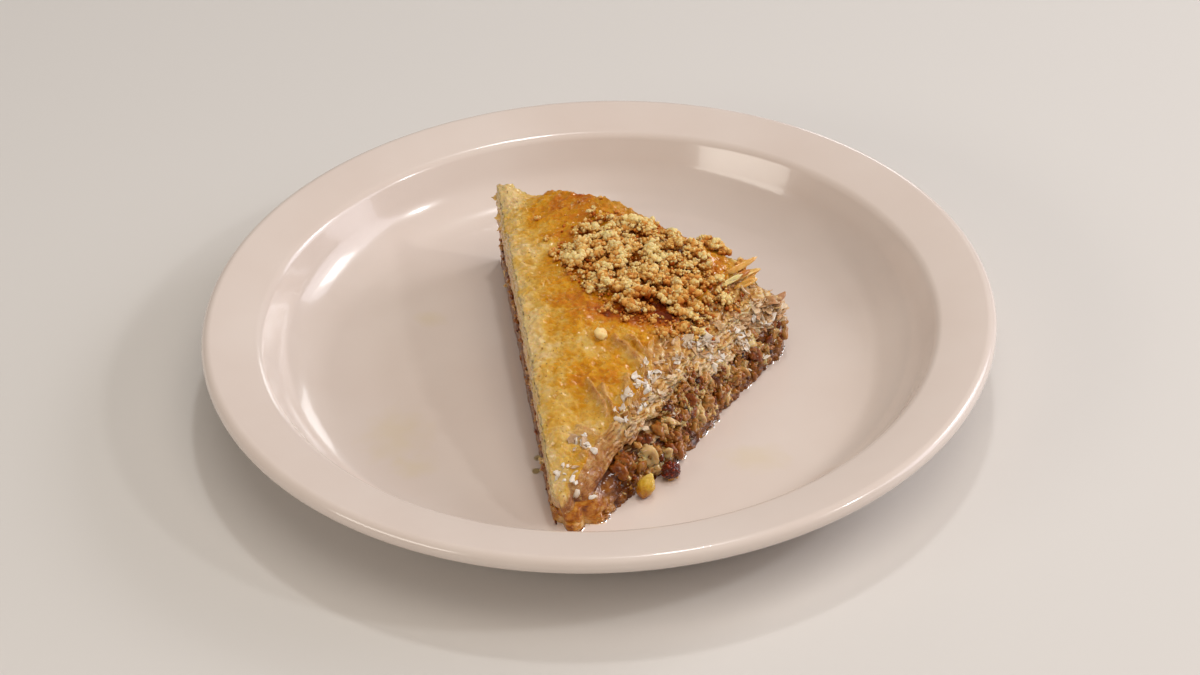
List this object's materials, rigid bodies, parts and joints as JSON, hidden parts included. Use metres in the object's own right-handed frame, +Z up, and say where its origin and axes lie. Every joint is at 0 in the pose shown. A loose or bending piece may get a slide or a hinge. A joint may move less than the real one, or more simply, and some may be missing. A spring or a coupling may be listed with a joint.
{
  "type": "baklava",
  "caption": "Triangular piece of baklava under chopped walnuts, lying on a round narrow-rimmed dessert plate.",
  "frame": {"origin": "centre of the ring that the plate stands on, in the plane of its foot", "axes": "+Z up, square to the plate; the baklava's thin tip points to -Y, its closed cut face to -X and its crumbled cut face to +X"},
  "size_m": [0.184, 0.184, 0.0357],
  "materials": {
    "plate glaze": "ivory gloss glaze on stoneware",
    "bottom pastry": "phyllo leaves soaked in syrup, glossy amber-brown",
    "nut filling": "chopped walnuts bound with syrup, moist",
    "top pastry": "baked phyllo leaves under a syrup film, golden and translucent",
    "chopped walnuts": "dry chopped walnut, matt",
    "walnut in syrup": "walnut piece coated with syrup",
    "dark walnut in syrup": "dark walnut piece coated with syrup"
  },
  "bodies": {
    "root": {"plate": "plate glaze", "base_pastry": "bottom pastry", "nut_filling": "nut filling", "top_pastry": "top pastry", "walnut_crumbs": "chopped walnuts", "loose_walnut": "walnut in syrup", "dark_nut": "dark walnut in syrup"}
  },
  "joints": []
}
